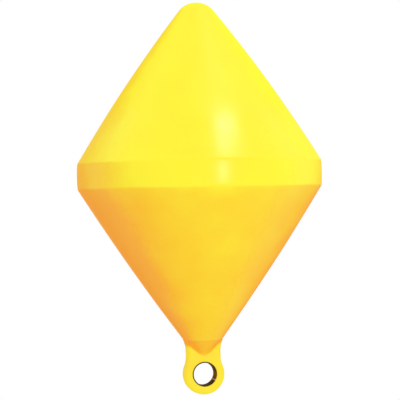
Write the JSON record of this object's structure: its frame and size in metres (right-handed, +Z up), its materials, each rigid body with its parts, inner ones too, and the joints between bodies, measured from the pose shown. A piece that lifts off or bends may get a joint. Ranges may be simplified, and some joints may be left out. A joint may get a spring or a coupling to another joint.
{
  "type": "biconical marker buoy",
  "caption": "Foam-filled plastic marker buoy: two cones meeting at a belt, a blunt nose and a moulded mooring lug whose eye is lined by a steel tube.",
  "frame": {"origin": "on the buoy's axis at the waterline, level with the belt's lower edge", "axes": "+Z up along the buoy's axis to its top; the mooring lug is a plate in the XZ plane, so its eye runs along Y, and the filling plug is on the +Y side"},
  "size_m": [0.4016, 0.4024, 0.6421],
  "materials": {
    "skin": "rotationally moulded yellow polyethylene, satin with a faint orange peel",
    "plug": "turned yellow polyethylene plug, welded in",
    "tube": "drawn steel tube, darkened by oxide, slightly stained"
  },
  "bodies": {
    "root": {"upper_cone": "skin", "belt": "skin", "lower_cone": "skin", "nose_and_lug": "skin", "filler_plug": "plug", "eye_tube": "tube"}
  },
  "joints": []
}
